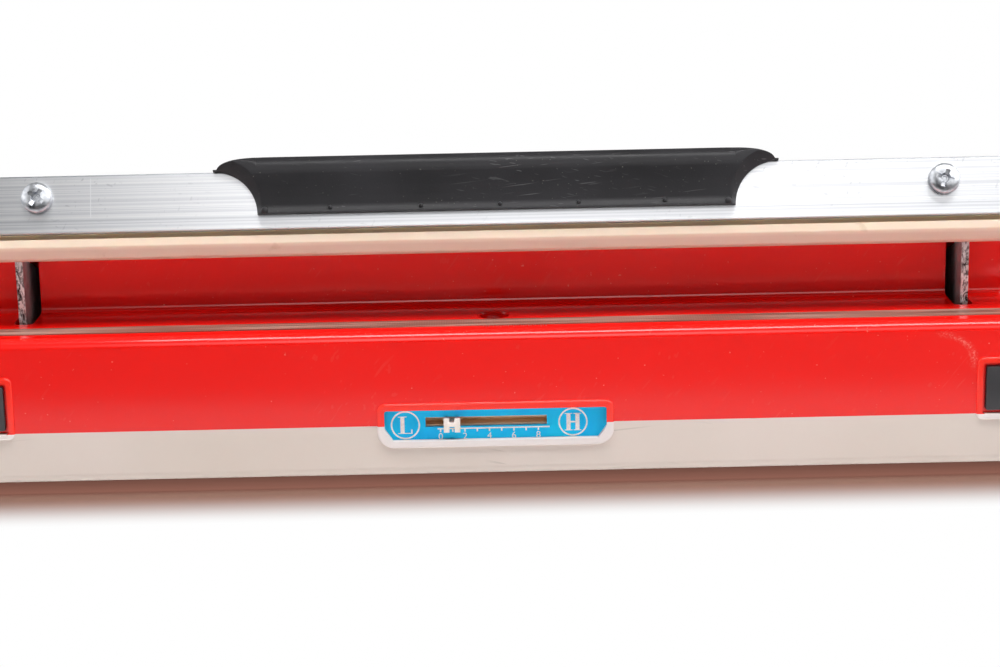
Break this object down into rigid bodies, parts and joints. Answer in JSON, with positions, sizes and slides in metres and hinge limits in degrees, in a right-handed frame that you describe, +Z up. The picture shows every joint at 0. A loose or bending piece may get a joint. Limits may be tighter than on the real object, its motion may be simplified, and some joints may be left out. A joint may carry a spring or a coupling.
{
  "type": "impulse heat sealer",
  "caption": "Hand impulse heat sealer: low moulded case with a heated strip on its deck, a hinged aluminium pressing arm with a silicone pad and black grip, and a slide timer.",
  "frame": {"origin": "middle of the footprint, on the surface that the feet stand on", "axes": "+X along the seal, to the right of someone who faces the timer; +Y to the rear; +Z up"},
  "size_m": [0.4, 0.09, 0.0996],
  "materials": {
    "red_abs": "glossy moulded",
    "white_abs": "satin moulded",
    "drawn_aluminium": "drawn, fine lines along the bar",
    "silicone": "matt, slightly translucent",
    "black_grip": "semi-gloss moulded",
    "zinc_steel": "bright zinc",
    "ptfe_cloth": "fine coated weave",
    "scale_blue": "printed",
    "knob_white": "moulded",
    "bezel_black": "fine texture",
    "lamp_amber": "clear tinted",
    "brass": "machined",
    "laminate": "sawn laminate",
    "core_steel": "varnished laminations",
    "winding_tape": "taped",
    "board_green": "solder mask",
    "foot_rubber": "moulded"
  },
  "bodies": {
    "housing": {"upper_housing": "red_abs", "lower_base": "white_abs", "rubber_feet": "foot_rubber", "base_screws": "zinc_steel", "deck_screw": "zinc_steel", "ptfe_strip": "ptfe_cloth", "heating_ribbon": "zinc_steel", "insulating_bar": "laminate", "terminal_blocks": "brass", "terminal_screws": "zinc_steel", "terminal_springs": "zinc_steel", "strip_clamps": "zinc_steel", "clamp_screws": "zinc_steel", "right_pivot_bracket": "zinc_steel", "left_pivot_bracket": "zinc_steel", "pivot_pins": "zinc_steel", "pivot_clips": "zinc_steel", "bracket_screws": "zinc_steel", "right_return_spring": "zinc_steel", "left_return_spring": "zinc_steel", "transformer_core": "core_steel", "transformer_winding": "winding_tape", "transformer_strap": "zinc_steel", "strap_screws": "zinc_steel", "timer_scale_plate": "scale_blue", "timer_circuit_board": "board_green", "slide_potentiometer": "laminate", "micro_switch": "bezel_black", "rocker_switch_body": "bezel_black", "indicator_lamp_body": "bezel_black", "indicator_lamp_lens": "lamp_amber", "cord_inlet_bush": "foot_rubber"},
    "pressing_arm": {"arm_channel": "drawn_aluminium", "silicone_pad": "silicone", "handle_grip": "black_grip", "right_lever": "zinc_steel", "left_lever": "zinc_steel", "arm_screws": "zinc_steel", "arm_end_caps": "bezel_black"},
    "timer_slider": {"timer_knob": "knob_white"},
    "power_rocker": {"rocker_button": "bezel_black"},
    "switch_plunger": {"micro_switch_plunger": "knob_white"}
  },
  "joints": [
    {"name": "arm_hinge", "type": "hinge", "parent": "housing", "child": "pressing_arm", "pos_m": [0, 0.0308, 0.042], "axis": [1, 0, 0], "range_deg": [0, 19], "stiffness_Nm_per_rad": 0.7, "springref_deg": -20.05, "deforming": ["right_return_spring", "left_return_spring"]},
    {"name": "timer_slide", "type": "slide", "parent": "housing", "child": "timer_slider", "axis": [1, 0, 0], "range_m": [-0.0025, 0.0265]},
    {"name": "rocker_tilt", "type": "hinge", "parent": "housing", "child": "power_rocker", "pos_m": [0.16085, -0.0406, 0.0278], "axis": [0, 0, 1], "range_deg": [0, 16]},
    {"name": "plunger_slide", "type": "slide", "parent": "housing", "child": "switch_plunger", "axis": [0, 0, -1], "range_m": [0, 0.001], "stiffness_N_per_m": 500, "springref_m": -0.001}
  ]
}
